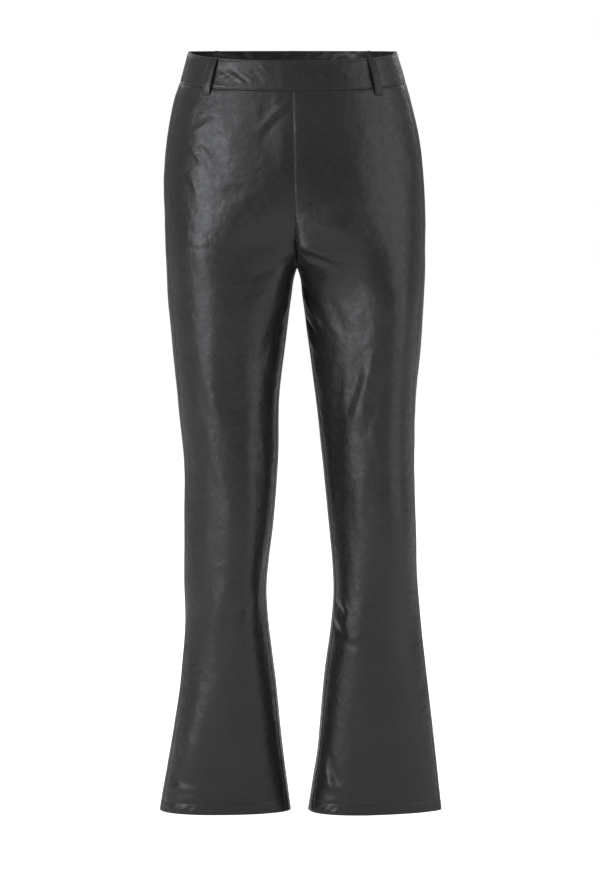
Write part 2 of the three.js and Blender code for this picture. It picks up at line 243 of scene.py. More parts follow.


# ---- Creases ----

# Each crease runs over one face of a leg through three places, given by x and z. Its width is
# measured from its middle line. Its depth is positive for a trough and negative for a ridge.
CREASE_COLUMNS = ("leg", "face", "x_1", "z_1", "x_2", "z_2", "x_3", "z_3", "width", "depth")
CREASES = (
    # Under the waistband and down the front centre
    (RIGHT, FRONT, -1, -79, -22, -95, -46, -122, 5.5, -2.9),
    (RIGHT, FRONT, -6, -95, -28, -112, -46, -142, 7, 1.6),
    (RIGHT, FRONT, -16, -70, -22, -78, -26, -88, 3.5, -1.5),
    (RIGHT, FRONT, -8, -118, -14, -150, -12, -190, 8, -1.6),
    (RIGHT, FRONT, -60, -192, -84, -206, -112, -212, 9, 1.0),
    (LEFT, FRONT, 12, -90, 38, -104, 52, -128, 9, 0.8),
    (RIGHT, FRONT, -142, -266, -128, -271, -110, -268, 3.5, -0.5),
    (RIGHT, FRONT, -142, -272, -128, -277, -110, -274, 3.5, 0.35),
    (RIGHT, FRONT, -136, -118, -122, -112, -106, -100, 4, -1.5),
    (RIGHT, FRONT, -140, -140, -128, -152, -116, -170, 4, -1.2),
    (RIGHT, FRONT, -126, -136, -118, -146, -108, -156, 3.5, -1.1),
    (RIGHT, FRONT, -142, -172, -134, -186, -128, -204, 4.5, -1.2),
    (RIGHT, FRONT, -120, -120, -100, -150, -96, -190, 16, 0.8),
    (RIGHT, FRONT, -150, -100, -128, -128, -118, -160, 12, -0.6),
    # Pulled across from the crotch: a full pad above one fold
    (LEFT, FRONT, 1, -262, 30, -275, 76, -303, 25, -8.5),
    (LEFT, FRONT, 54, -214, 60, -256, 70, -300, 28, -7.0),
    (LEFT, FRONT, 5, -268, 34, -278, 70, -297, 5, -2.0),
    (LEFT, FRONT, 5, -277, 34, -287, 74, -306, 7, 2.6),
    (LEFT, FRONT, 12, -230, 44, -244, 84, -262, 11, -1.6),
    (RIGHT, FRONT, 2, -288, -24, -302, -62, -318, 8, 1.6),
    (RIGHT, FRONT, 0, -262, -30, -280, -68, -286, 13, -1.6),
    # Inner thighs
    (RIGHT, FRONT, -6, -334, -16, -368, -26, -412, 6, 2.6),
    (RIGHT, FRONT, -4, -346, -10, -360, -16, -378, 3.5, -1.6),
    (RIGHT, FRONT, -22, -376, -34, -404, -44, -440, 9, 1.5),
    (RIGHT, FRONT, -40, -330, -56, -360, -60, -400, 12, -1.2),
    (LEFT, FRONT, 12, -318, 22, -338, 36, -352, 5, 2.4),
    (LEFT, FRONT, 14, -338, 28, -362, 40, -384, 5, -2.0),
    (LEFT, FRONT, 16, -362, 26, -384, 42, -404, 5, 2.4),
    (LEFT, FRONT, 20, -392, 34, -412, 48, -428, 6, -1.5),
    (LEFT, FRONT, 44, -338, 60, -366, 74, -400, 10, 1.4),
    # Down the left thigh
    (LEFT, FRONT, 112, -410, 98, -462, 80, -520, 7, -1.6),
    (LEFT, FRONT, 90, -410, 84, -452, 70, -505, 9, 2.4),
    (LEFT, FRONT, 118, -452, 108, -492, 92, -540, 9, 1.8),
    (LEFT, FRONT, 100, -486, 96, -496, 93, -508, 4, -1.0),
    (LEFT, FRONT, 66, -430, 58, -540, 60, -660, 15, 2.2),
    (LEFT, FRONT, 98, -560, 92, -620, 96, -690, 9, -1.2),
    (LEFT, FRONT, 104, -350, 100, -372, 92, -400, 12, 1.0),
    # Down the right thigh
    (RIGHT, FRONT, -128, -420, -112, -470, -98, -520, 11, -1.0),
    (RIGHT, FRONT, -96, -400, -88, -450, -76, -510, 12, 1.4),
    (RIGHT, FRONT, -118, -500, -104, -560, -92, -610, 9, -1.0),
    (RIGHT, FRONT, -52, -520, -44, -600, -48, -690, 11, 1.4),
    # Knees
    (LEFT, FRONT, 50, -742, 60, -762, 76, -772, 5, 2.4),
    (LEFT, FRONT, 50, -762, 62, -780, 80, -788, 4.5, -1.6),
    (LEFT, FRONT, 52, -780, 62, -796, 74, -806, 5, 2.0),
    (LEFT, FRONT, 64, -748, 73, -770, 74, -802, 6, -1.6),
    (LEFT, FRONT, 70, -808, 84, -812, 98, -808, 4.5, 1.6),
    (LEFT, FRONT, 68, -800, 84, -803, 100, -798, 5, -1.0),
    (RIGHT, FRONT, -52, -744, -68, -764, -90, -772, 6, 1.2),
    (RIGHT, FRONT, -56, -776, -72, -790, -88, -794, 6, -0.9),
    (RIGHT, FRONT, -92, -720, -104, -772, -128, -830, 14, -1.6),
    (RIGHT, FRONT, -76, -730, -86, -790, -104, -860, 13, 1.4),
    # Calves and hems
    (RIGHT, FRONT, -118, -860, -136, -930, -150, -1000, 16, -1.4),
    (RIGHT, FRONT, -60, -900, -80, -950, -92, -1010, 17, 1.2),
    (RIGHT, FRONT, -150, -1000, -130, -1018, -96, -1030, 9, -1.0),
    (RIGHT, FRONT, -168, -985, -140, -1006, -112, -1016, 8, 0.9),
    (RIGHT, FRONT, -176, -1012, -150, -1011, -124, -1013, 3.0, -1.0),
    (RIGHT, FRONT, -160, -1025, -138, -1024, -112, -1025, 2.8, -1.1),
    (RIGHT, FRONT, -76, -1004, -62, -1016, -44, -1024, 5, -0.9),
    (RIGHT, FRONT, -170, -1044, -164, -1040, -156, -1035, 3.0, -1.6),
    (RIGHT, FRONT, -158, -1044, -151, -1039, -141, -1036, 3.2, -1.7),
    (RIGHT, FRONT, -144, -1045, -136, -1041, -128, -1035, 2.8, -1.5),
    (RIGHT, FRONT, -132, -1043, -122, -1040, -112, -1036, 3.2, -1.7),
    (RIGHT, FRONT, -116, -1044, -108, -1040, -98, -1036, 2.6, -1.2),
    (LEFT, FRONT, 48, -958, 56, -984, 68, -1012, 6, 1.8),
    (LEFT, FRONT, 40, -966, 48, -992, 56, -1020, 6, -1.2),
    (LEFT, FRONT, 44, -978, 54, -992, 62, -1008, 4.5, 1.6),
    (LEFT, FRONT, 30, -1000, 50, -1006, 66, -1016, 4.5, -1.6),
    (LEFT, FRONT, 28, -1024, 48, -1026, 68, -1024, 2.8, -1.1),
    (LEFT, FRONT, 26, -1044, 32, -1040, 40, -1035, 3.0, -1.6),
    (LEFT, FRONT, 38, -1044, 46, -1040, 54, -1036, 3.2, -1.7),
    (LEFT, FRONT, 50, -1045, 58, -1041, 68, -1036, 3.0, -1.6),
    (LEFT, FRONT, 64, -1043, 74, -1040, 86, -1037, 3.0, -1.2),
    (LEFT, FRONT, 80, -900, 96, -952, 112, -1012, 16, 1.2),
    (LEFT, FRONT, 130, -880, 142, -940, 150, -1005, 15, -1.0),
    # Seat
    (RIGHT, BACK, -10, -150, -50, -172, -96, -180, 16, -1.2),
    (LEFT, BACK, 12, -160, 48, -178, 104, -190, 15, -1.2),
    (RIGHT, BACK, -4, -282, -40, -262, -92, -250, 10, 2.0),
    (LEFT, BACK, 12, -284, 46, -268, 90, -258, 10, 2.0),
    (RIGHT, BACK, -22, -326, -74, -346, -138, -338, 10, 3.2),
    (RIGHT, BACK, -30, -352, -80, -368, -128, -362, 9, -2.0),
    (RIGHT, BACK, -34, -372, -84, -392, -140, -380, 9, 2.4),
    (LEFT, BACK, 30, -330, 80, -350, 142, -346, 10, 3.2),
    (LEFT, BACK, 36, -356, 88, -374, 130, -370, 9, -2.0),
    (LEFT, BACK, 38, -380, 92, -398, 146, -392, 9, 2.2),
    (RIGHT, BACK, -18, -352, -32, -392, -36, -440, 7, 2.0),
    (LEFT, BACK, 28, -356, 40, -396, 46, -440, 7, 2.0),
    (RIGHT, BACK, -60, -420, -66, -500, -60, -580, 14, 1.8),
    (LEFT, BACK, 112, -420, 104, -500, 110, -580, 14, 1.8),
    (RIGHT, BACK, -120, -430, -116, -500, -120, -560, 13, -1.4),
    (LEFT, BACK, 66, -430, 70, -510, 68, -570, 13, -1.4),
    # Behind the knees
    (RIGHT, BACK, -48, -622, -86, -640, -134, -626, 7, 2.8),
    (RIGHT, BACK, -52, -640, -90, -657, -128, -646, 7, -1.8),
    (RIGHT, BACK, -50, -664, -92, -676, -138, -660, 7, 2.8),
    (RIGHT, BACK, -56, -698, -90, -706, -132, -694, 8, 1.8),
    (RIGHT, BACK, -60, -600, -88, -612, -118, -606, 8, -1.2),
    (LEFT, BACK, 56, -618, 96, -634, 146, -628, 7, 2.8),
    (LEFT, BACK, 60, -638, 98, -652, 140, -646, 7, -1.8),
    (LEFT, BACK, 58, -658, 98, -676, 148, -668, 7, 2.8),
    (LEFT, BACK, 62, -690, 100, -704, 142, -700, 8, 1.8),
    (LEFT, BACK, 62, -724, 96, -732, 136, -726, 9, -1.2),
    # Back of the calves
    (RIGHT, BACK, -66, -790, -82, -880, -72, -970, 17, 1.6),
    (RIGHT, BACK, -126, -780, -132, -870, -142, -960, 16, -1.4),
    (RIGHT, BACK, -60, -1010, -96, -996, -150, -1012, 10, 1.2),
    (LEFT, BACK, 76, -790, 92, -880, 84, -980, 17, 1.6),
    (LEFT, BACK, 140, -790, 148, -880, 158, -970, 16, -1.4),
    (LEFT, BACK, 70, -1012, 110, -998, 160, -1016, 10, 1.2),
)
BAND_CREASES = (
    (RIGHT, FRONT, -91, -49, -80, -44, -71, -38, 2.6, -0.9),
    (RIGHT, FRONT, -90, -36, -76, -46, -61, -56, 2.6, -0.9),
    (RIGHT, FRONT, -84, -33, -70, -44, -56, -54, 2.6, 0.8),
    (RIGHT, FRONT, -74, -39, -62, -46, -51, -52, 2.4, -0.9),
    (RIGHT, FRONT, -44, -29, -38, -34, -30, -40, 2.4, -0.9),
    (RIGHT, FRONT, -100, -43, -95, -42, -90, -42, 2.6, -0.6),
    (RIGHT, FRONT, -56, -36, -48, -44, -40, -56, 3, 0.7),
    (LEFT, FRONT, 28, -34, 40, -44, 48, -58, 3, 0.7),
    (LEFT, FRONT, 60, -30, 72, -42, 84, -54, 4, -0.7),
    (RIGHT, BACK, -100, -18, -84, -6, -70, 4, 4, -0.6),
    (RIGHT, BACK, -60, -24, -48, -12, -40, 2, 4, 0.6),
    (LEFT, BACK, 30, -26, 44, -14, 56, -4, 4, -0.6),
    (LEFT, BACK, 74, -20, 88, -14, 104, -18, 4, 0.6),
)


def angle_at(leg, face, x, z):
    """The angle round a leg, on one face, where the cloth is at x."""
    s, middle, half_width = oval(leg, z)
    share = (middle - MIRROR[leg] * (x - s["centre"])) / half_width
    return FORWARD[face] * np.arccos(np.clip(share, -0.995, 0.995))


def crease_relief(leg, face, points, creases):
    """Depth of all the creases on one face of a leg, negative into the cloth."""
    flat = points.reshape(-1, 3)
    relief = np.zeros(len(flat))
    for row in creases:
        crease = dict(zip(CREASE_COLUMNS, row))
        if crease["leg"] != leg or crease["face"] != face:
            continue
        t = np.linspace(0, 1, 15)
        first, second, third = 2 * (t - 0.5) * (t - 1), 4 * t * (1 - t), 2 * t * (t - 0.5)
        x = first * crease["x_1"] + second * crease["x_2"] + third * crease["x_3"]
        z = first * crease["z_1"] + second * crease["z_2"] + third * crease["z_3"]
        line = surface(leg, angle_at(leg, face, x, z), z)
        width = crease["width"]
        low, high = line.min(axis=0) - 3 * width, line.max(axis=0) + 3 * width
        near = np.flatnonzero(np.all((flat > low) & (flat < high), axis=1))
        best = np.full(len(near), 1e9)
        along = np.zeros(len(near))
        for k in range(len(line) - 1):
            step = line[k + 1] - line[k]
            away = flat[near] - line[k]
            share = np.clip(away @ step / (step @ step), 0, 1)
            distance = np.linalg.norm(away - share[:, None] * step, axis=1)
            closer = distance < best
            best = np.where(closer, distance, best)
            along = np.where(closer, (k + share) / (len(line) - 1), along)
        uneven = 1 + 0.3 * smooth_noise(flat[near], (width * 3, width * 3, width * 3), seed=61)
        fade = np.maximum(np.sin(math.pi * np.clip(along, 0, 1)), 0) ** 0.8
        relief[near] -= crease["depth"] * fade * uneven * np.exp(-(best / width) ** 2)
    return relief.reshape(points.shape[:-1])


def slack_relief(points, to_seam):
    """The soft unevenness of cloth that isn't quite taut, calmer towards the seams."""
    relief = 0.85 * smooth_noise(points, (45, 60, 120), seed=3)
    relief += 0.34 * smooth_noise(points, (17, 18, 42), seed=5)
    relief += 0.12 * smooth_noise(points, (8, 8, 11), seed=7)
    return relief * np.clip(to_seam / 12, 0.25, 1)


def seam_relief(points, to_seam):
    """The groove along a seam, drawn in unevenly by its stitching."""
    pucker = 1 + 0.45 * smooth_noise(points, (9, 9, 7), seed=11)
    return line_groove(to_seam, depth=0.6, width=1.6) * pucker + turned_edge(to_seam, FOLD_RADIUS)


def line_groove(distance, depth, width):
    return -depth * np.exp(-(distance / width) ** 2)


def turned_edge(distance, radius):
    return np.sqrt(np.maximum(radius ** 2 - np.maximum(radius - distance, 0) ** 2, 0)) - radius


# ---- Panels ----

class PanelGrid:
    """A panel's rows from waist to hem, and its columns as shares from the inner seam, 0, to the
    side seam, 1. A row lies level at both seams."""

    def __init__(self, leg, face):
        self.leg, self.face = leg, face
        side_top = float(waist_z(side_seam_angle(face, -BAND_HEIGHT), BAND_HEIGHT + SEAM_GAP))
        above, below = SHARES_ABOVE, SHARES_BELOW
        self.inner_z = np.concatenate([centre_seam_heights(leg, face, above),
                                       CROTCH_Z + (HEM_Z - CROTCH_Z) * below])[:, None]
        self.side_z = np.concatenate([
            side_top + (SIDE_ROW_AT_CROTCH_Z - side_top) * above,
            SIDE_ROW_AT_CROTCH_Z + (HEM_Z - SIDE_ROW_AT_CROTCH_Z) * below])[:, None]
        self.tilt = np.concatenate([np.maximum(0, 1 - 2 * above), 0 * below])[:, None]
        self.to_hem = np.concatenate([LEG_LENGTH + 0 * above, LEG_LENGTH * (1 - below)])[:, None]
        self.to_waist = np.concatenate([RISE_LENGTH * above,
                                        RISE_LENGTH + LEG_LENGTH * below])[:, None]
        gap = FORWARD[face] * SEAM_GAP / 2
        side = side_seam_angle(face, self.side_z)
        self.side = side - angle_per_mm(leg, side, self.side_z) * gap
        inner = inner_seam_angle(leg, face, self.inner_z)
        on_leg = self.inner_z <= CROTCH_Z
        self.inner = inner + np.where(on_leg, angle_per_mm(leg, inner, self.inner_z) * gap, 0)
        self.waist_ends = waist_z(self.inner, 0), waist_z(self.side, 0)
        self.above_crotch = smoothstep((self.inner_z - CROTCH_Z + 14) / 14)
        step = 0.004
        self.inner_share = step / self.width_between(0, step)
        self.side_share = step / self.width_between(1 - step, 1)

    def width_between(self, start, end):
        a, b = (surface(self.leg, *self.place(np.full_like(self.side, u))) for u in (start, end))
        return np.linalg.norm(a - b, axis=-1)

    def place(self, u):
        angle = self.inner + (self.side - self.inner) * u
        level = u * u * (3 - 2 * u)
        first, last = self.waist_ends
        dip = waist_z(angle, 0) - (first + (last - first) * level)
        return angle, self.inner_z + (self.side_z - self.inner_z) * level + self.tilt * dip

    def shares(self, inner_steps, side_steps):
        """Shares of the columns: steps in millimetres from each seam, and even ones between."""
        left, right = inner_steps * self.inner_share, 1 - side_steps * self.side_share
        between = np.linspace(0, 1, MIDDLE_COLUMNS + 1)[1:-1]
        middle = left[:, -1:] + (right[:, :1] - left[:, -1:]) * between
        return np.concatenate([left, middle, right], axis=1)

    def direction(self, angle, z, to_inner):
        """Outwards. Beside the centre seam it stays in the seam's own upright plane."""
        out = normal(self.leg, angle, z)
        keep = 1 - self.above_crotch * (1 - smoothstep(to_inner / 9))
        out[..., 0] *= keep
        return out / np.maximum(np.linalg.norm(out, axis=-1, keepdims=True), 0.6)


def panel_layers(leg, face):
    """The outside and the inside of a panel, with its seam allowances pressed back under it."""
    grid = PanelGrid(leg, face)
    folds = len(ALLOWANCE_STEPS)
    plain = slice(folds, -folds)
    steps = np.concatenate([ALLOWANCE_STEPS, EDGE_STEPS])
    inner_steps = np.concatenate([ALLOWANCE_INNER_STEPS,
                                  np.hypot(EDGE_STEPS, ALLOWANCE_INNER_STEPS[-1])])
    layers = []
    for far, lifts, main_lift in ((steps, ALLOWANCE_LIFTS, 0.0),
                                  (inner_steps, ALLOWANCE_INNER_LIFTS, -WALL)):
        u = grid.shares(far, far[::-1])
        angle, z = grid.place(u)
        points = surface(leg, angle, z)
        step = np.linalg.norm(np.diff(points[:, plain], axis=1), axis=2)
        along = np.concatenate([np.zeros((len(z), 1)), np.cumsum(step, axis=1)], axis=1)
        blank = np.zeros((len(z), folds))
        to_inner = np.concatenate([blank + ALLOWANCE_STEPS, along, blank + along[:, -1:]], axis=1)
        to_side = np.concatenate([blank + along[:, -1:], along[:, -1:] - along,
                                  blank + ALLOWANCE_STEPS[::-1]], axis=1)
        to_seam = np.minimum(to_inner, to_side)
        held = np.clip(grid.to_waist / 22, 0.15, 1)
        relief = slack_relief(points, to_seam) * held + seam_relief(points, to_seam)
        relief += crease_relief(leg, face, points, CREASES) * np.clip(to_seam / 3, 0.3, 1) * held
        hem = line_groove(grid.to_hem - HEM_STITCH, depth=0.5, width=1.2)
        hem = hem * (1 + 0.5 * smooth_noise(points, (9, 9, 9), seed=71))
        relief += np.where(to_seam > 0.3, hem, 0)
        relief += turned_edge(grid.to_waist, radius=0.9) + turned_edge(grid.to_hem, radius=0.5)
        fine = smooth_noise(points, (6, 9, 40), seed=73)
        gathers = 0.5 + 0.5 * fine * smooth_noise(points, (40, 40, 40), seed=75)
        relief += 0.8 * gathers * np.exp(-((grid.to_waist - 4) / 3) ** 2)
        lift = np.full(z.shape, main_lift)
        lift[:, :folds] = lifts
        lift[:, -folds:] = lifts[::-1]
        out = grid.direction(angle, z, to_inner)
        layers.append(points + out * (relief + lift)[..., None])
    return grid, layers


# ---- Meshes ----

def grid_faces(rows, columns, closed, start=0, flip=False):
    i, j = np.meshgrid(np.arange(rows - 1), np.arange(columns if closed else columns - 1),
                       indexing="ij")
    i, j = i.ravel(), j.ravel()
    k = (j + 1) % columns
    quads = np.stack([i * columns + j, (i + 1) * columns + j, (i + 1) * columns + k,
                      i * columns + k], axis=1) + start
    return quads[:, ::-1] if flip else quads


def strip_faces(a, b, closed):
    a, b = np.asarray(a), np.asarray(b)
    if closed:
        a, b = np.append(a, a[0]), np.append(b, b[0])
    return np.stack([a[:-1], a[1:], b[1:], b[:-1]], axis=1)


def mesh_object(name, points, faces, inside=None):
    """A mesh of four-sided faces. inside marks the faces that take the second material."""
    mesh = bpy.data.meshes.new(name)
    mesh.vertices.add(len(points))
    mesh.vertices.foreach_set("co", (points * MM).astype(np.float32).ravel())
    mesh.loops.add(faces.size)
    mesh.loops.foreach_set("vertex_index", faces.astype(np.int32).ravel())
    mesh.polygons.add(len(faces))
    mesh.polygons.foreach_set("loop_start", np.arange(0, faces.size, 4, dtype=np.int32))
    mesh.update(calc_edges=True)
    mesh.polygons.foreach_set("use_smooth", np.ones(len(faces), bool))
    if inside is not None:
        mesh.polygons.foreach_set("material_index", inside.astype(np.int32))
    mesh.validate()
    piece = bpy.data.objects.new(name, mesh)
    bpy.context.scene.collection.objects.link(piece)
    return piece


def volume(points, faces):
    a, b, c, d = (points[faces[:, n]] for n in range(4))
    return (np.einsum("ij,ij->i", a, np.cross(b, c)) + np.einsum("ij,ij->i", a, np.cross(c, d))).sum()


def shell(name, outer, inner, closed=False):
    """A closed shell between two grids of the same size, rows by columns."""
    rows, columns = outer.shape[:2]
    count = rows * columns
    points = np.concatenate([outer.reshape(-1, 3), inner.reshape(-1, 3)])
    index = np.arange(count).reshape(rows, columns)
    faces = [grid_faces(rows, columns, closed),
             grid_faces(rows, columns, closed, count, flip=True),
             strip_faces(index[0], index[0] + count, closed),
             strip_faces(index[-1] + count, index[-1], closed)]
    if not closed:
        faces += [strip_faces(index[:, 0] + count, index[:, 0], False),
                  strip_faces(index[:, -1], index[:, -1] + count, False)]
    inside = np.zeros(sum(len(part) for part in faces), bool)
    inside[len(faces[0]):len(faces[0]) + len(faces[1])] = True
    faces = np.concatenate(faces)
    if volume(points, faces) < 0:
        faces = faces[:, ::-1]
    return mesh_object(name, points, faces, inside)


# ---- Waistband ----

# Shares down the waistband, closer together at its turned edges and its stitch lines
BAND_SHARES = np.concatenate([np.array((0, 0.2, 0.5, 0.9, 1.4, 1.9, 2.3, 2.7, 3.3, 4.2)),
                              np.linspace(5.4, BAND_HEIGHT - 5.4, 24),
                              BAND_HEIGHT - np.array((4.2, 3.3, 2.8, 2.4, 2.0, 1.5, 0.9, 0.5,
                                                      0.2, 0))]) / BAND_HEIGHT
BAND_STITCH = 2.3


def band_grid(face):
    """Angles and heights over the wearer's right side, then over the left, as two half grids
    that share the centre."""
    gap = math.radians(SEAM_GAP * 0.2)
    side = side_seam_angle(face, 0) - FORWARD[face] * gap
    centre = FORWARD[face] * math.pi / 2
    half = BAND_COLUMNS // 2
    right = np.linspace(side, centre, half + 1)
    left = np.linspace(centre, side, half + 1)[1:]
    drop = BAND_HEIGHT * BAND_SHARES[:, None]
    return (right + 0 * drop, waist_z(right, drop)), (left + 0 * drop, waist_z(left, drop))


def band_layer(face, lift):
    """A layer of the waistband: lift(leg, points, share down the band) in millimetres."""
    halves = []
    for leg, (angle, z) in zip((RIGHT, LEFT), band_grid(face)):
        share = BAND_SHARES[:, None] + 0 * z
        points = surface(leg, angle, z)
        halves.append(at(leg, angle, z, lift(leg, points, share)))
    return np.concatenate(halves, axis=1)


def rounded_edges(share, height, radius):
    """How far a turned edge falls back, near the top and the bottom of a strip."""
    near = np.minimum(share, 1 - share) * height
    fall = np.clip(1 - near / radius, 0, 1)
    return radius * (1 - np.sqrt(1 - fall ** 2)) * 0.9


def make_waistband(face):
    def outside(leg, points, share):
        near = np.minimum(share, 1 - share) * BAND_HEIGHT
        held = np.clip(near / 7, 0.15, 1)
        wave = 0.5 * smooth_noise(points, (36, 40, 60), seed=21)
        wave += 0.24 * smooth_noise(points, (11, 11, 12), seed=23)
        wave += 0.11 * smooth_noise(points, (5, 5, 6), seed=25)
        pucker = 1 + 0.5 * smooth_noise(points, (7, 7, 7), seed=27)
        return (BAND_PROUD + wave * held - rounded_edges(share, BAND_HEIGHT, 1.3)
                + line_groove(near - BAND_STITCH, depth=0.32, width=0.7) * pucker
                + crease_relief(leg, face, points, BAND_CREASES) * held)

    outer = band_layer(face, outside)
    inner = band_layer(face, lambda leg, points, share: BAND_PROUD - BAND_WALL
                       + rounded_edges(share, BAND_HEIGHT, 0.8))
    return shell(f"waistband_{face}_cloth", outer, inner), outer


def make_facing():
    outside = BAND_PROUD - BAND_WALL - SEAM_GAP

    def crinkle(leg, points, share):
        wave = 1.5 * smooth_noise(points, (13, 30, 11), seed=31)
        wave += 0.7 * smooth_noise(points, (5, 8, 5), seed=33)
        return outside - FACING_WALL - 0.9 + 0.5 * wave

    outer = band_layer(BACK, lambda leg, points, share: outside + 0 * share)
    inner = band_layer(BACK, crinkle)
    return shell("waistband_back_facing_cloth", outer, inner)


# ---- Hems and belt loops ----

def make_hem(leg):
    z = (HEM_Z + HEM_DEPTH * np.linspace(1, 0, 13))[:, None]
    angle = np.linspace(0, 2 * math.pi, 240, endpoint=False)[None, :]
    angle = np.where(angle > math.pi, angle - 2 * math.pi, angle)
    z, angle = z + 0 * angle, angle + 0 * z
    points = surface(leg, angle, z)
    wave = 0.3 * smooth_noise(points, (12, 12, 10), seed=41)
    over_seams = 0.0
    for face in (FRONT, BACK):
        for seam in (side_seam_angle(face, z), inner_seam_angle(leg, face, z)):
            turn = np.abs((angle - seam + math.pi) % (2 * math.pi) - math.pi)
            distance = turn / angle_per_mm(leg, seam, z)
            over_seams = np.maximum(over_seams, smoothstep((15 - distance) / 4))
    outside = -WALL - HEM_GAP - ALLOWANCE_ROOM * over_seams
    outer = at(leg, angle, z, outside)
    inner = at(leg, angle, z, outside - HEM_WALL + wave)
    return shell(f"hem_turn_up_{leg}_cloth", outer, inner, closed=True)


LOOP_WIDTH = 12.0
LOOP_WALL = 1.8
LOOP_BULGE = 3.4
LOOP_DROP = 10.0
LOOP_LENGTH = BAND_HEIGHT + LOOP_DROP
LOOP_END_SEAT = 0.35
# The leg that a loop is over, and its angle there in degrees
LOOP_PLACES = {
    "front_right": (RIGHT, 135.5),
    "front_left": (LEFT, 135.5),
    "back_right": (RIGHT, -137.0),
    "back_centre": (LEFT, -90.0),
    "back_left": (LEFT, -137.0),
}
LOOP_EDGE_STITCH = 0.66  # as a share of half the loop's width
LOOP_BAR = 2.2  # from each end to the stitching across it


def make_loop(name):
    """A folded strip, stitched flat at its top and bottom ends and proud of the band between."""
    leg, degrees = LOOP_PLACES[name]
    middle = math.radians(degrees)
    mid_z = waist_z(middle, BAND_HEIGHT / 2)
    half_turn = float(angle_per_mm(leg, middle, mid_z)) * LOOP_WIDTH / 2
    share = np.concatenate([np.linspace(0, 0.1, 8), np.linspace(0.1, 0.88, 34)[1:-1],
                            np.linspace(0.88, 1, 10)])[:, None]
    over = np.array((-1, -0.96, -0.88, -0.78, -0.7, -0.62, -0.5, -0.25, 0,
                     0.25, 0.5, 0.62, 0.7, 0.78, 0.88, 0.96, 1))[None, :]
    z = waist_z(middle, LOOP_LENGTH * share) + 0 * over
    turned = middle + half_turn * over + 0 * share
    seat = BAND_PROUD + SEAM_GAP + (LOOP_END_SEAT - BAND_PROUD - SEAM_GAP) * share
    lift = seat + LOOP_BULGE * np.sin(math.pi * share) ** 0.8 + 0 * over
    edge = 0.8 * np.abs(over) ** 7
    edge = edge - line_groove((np.abs(over) - LOOP_EDGE_STITCH) * LOOP_WIDTH / 2,
                              depth=0.28, width=0.5)
    bars = line_groove((1 - share) * LOOP_LENGTH - LOOP_BAR, depth=0.5, width=0.8)
    bars = bars + line_groove(share * LOOP_LENGTH - LOOP_BAR, depth=0.4, width=0.8)
    end = 0.9 * (1 - np.sqrt(np.clip(1 - (1 - np.minimum((1 - share), 0.02) / 0.02) ** 2, 0, 1)))
    centre = surface(leg, middle + 0 * turned, z)
    out = normal(leg, middle + 0 * turned, z)
    if name == "back_centre":
        flat = centre.copy()
        flat[..., 0] = centre[..., 0] + LOOP_WIDTH / 2 * over
    else:
        flat = surface(leg, turned, z)
    uneven = 0.14 * smooth_noise(flat, (6, 6, 8), seed=51)
    outer = flat + out * (lift + LOOP_WALL - edge + bars - end + uneven)[..., None]
    inner = flat + out * (lift + 0 * edge)[..., None]
    return shell(f"belt_loop_{name}_cloth", outer, inner), outer


# ---- Stitching ----

STITCH_LENGTH = 2.3
STITCH_PITCH = 3.1
STITCH_RADIUS = 0.17
STITCH_SIDES = 6


def path_at(path, lengths, where):
    return np.stack([np.interp(where, lengths, path[:, n]) for n in range(3)], axis=-1)


def stitch_line(path, out, sink=0.05):
    """Points and faces of a row of stitches along a path. out is the cloth's outward direction
    at each point of the path."""
    lengths = np.concatenate([[0], np.cumsum(np.linalg.norm(np.diff(path, axis=0), axis=1))])
    count = int((lengths[-1] - STITCH_LENGTH) // STITCH_PITCH)
    if count < 1:
        return np.zeros((0, 3)), np.zeros((0, 4), int)
    starts = (lengths[-1] - count * STITCH_PITCH) / 2 + STITCH_PITCH * np.arange(count)
    share = np.array((0.0, 0.12, 0.5, 0.88, 1.0))
    girth = np.array((0.35, 0.9, 1.0, 0.9, 0.35)) * STITCH_RADIUS
    rise = np.array((-0.22, -0.02, 0.05, -0.02, -0.22))
    where = starts[:, None] + STITCH_LENGTH * share
    centre = path_at(path, lengths, where)
    up = path_at(out, lengths, where)
    up /= np.linalg.norm(up, axis=-1, keepdims=True)
    ahead = path_at(path, lengths, where + 0.3) - path_at(path, lengths, where - 0.3)
    ahead /= np.maximum(np.linalg.norm(ahead, axis=-1, keepdims=True), 1e-9)
    aside = np.cross(ahead, up)
    turn = np.linspace(0, 2 * math.pi, STITCH_SIDES, endpoint=False)
    ring = (centre + up * (rise - sink)[None, :, None])[:, :, None, :]
    ring = ring + girth[None, :, None, None] * (
        aside[:, :, None, :] * np.cos(turn)[None, None, :, None]
        + up[:, :, None, :] * np.sin(turn)[None, None, :, None])
    points = ring.reshape(-1, 3)
    size = len(share) * STITCH_SIDES
    round_one = np.arange(STITCH_SIDES)
    one = [strip_faces(round_one + STITCH_SIDES * k, round_one + STITCH_SIDES * (k + 1), True)
           for k in range(len(share) - 1)]
    first, last = 0, STITCH_SIDES * (len(share) - 1)
    one += [np.array([[first, first + 1, first + 2, first + 3],
                      [first, first + 3, first + 4, first + 5],
                      [last + 3, last + 2, last + 1, last], [last + 5, last + 4, last + 3, last]])]
    one = np.concatenate(one)
    if volume(points[:size], one) < 0:
        one = one[:, ::-1]
    faces = (one[None] + size * np.arange(count)[:, None, None]).reshape(-1, 4)
    return points, faces


def make_stitching(name, lines):
    points, faces, start = [], [], 0
    for path, out in lines:
        some, quads = stitch_line(path, out)
        points.append(some)
        faces.append(quads + start)
        start += len(some)
    return mesh_object(name, np.concatenate(points), np.concatenate(faces))


def grid_normals(points):
    """Outward directions over a grid of points, found from the grid itself."""
    across, down = np.gradient(points, axis=1), np.gradient(points, axis=0)
    out = np.cross(across, down)
    out /= np.maximum(np.linalg.norm(out, axis=-1, keepdims=True), 1e-9)
    middle = points.reshape(-1, 3).mean(axis=0)
    return out if ((points - middle) * out).sum() > 0 else -out


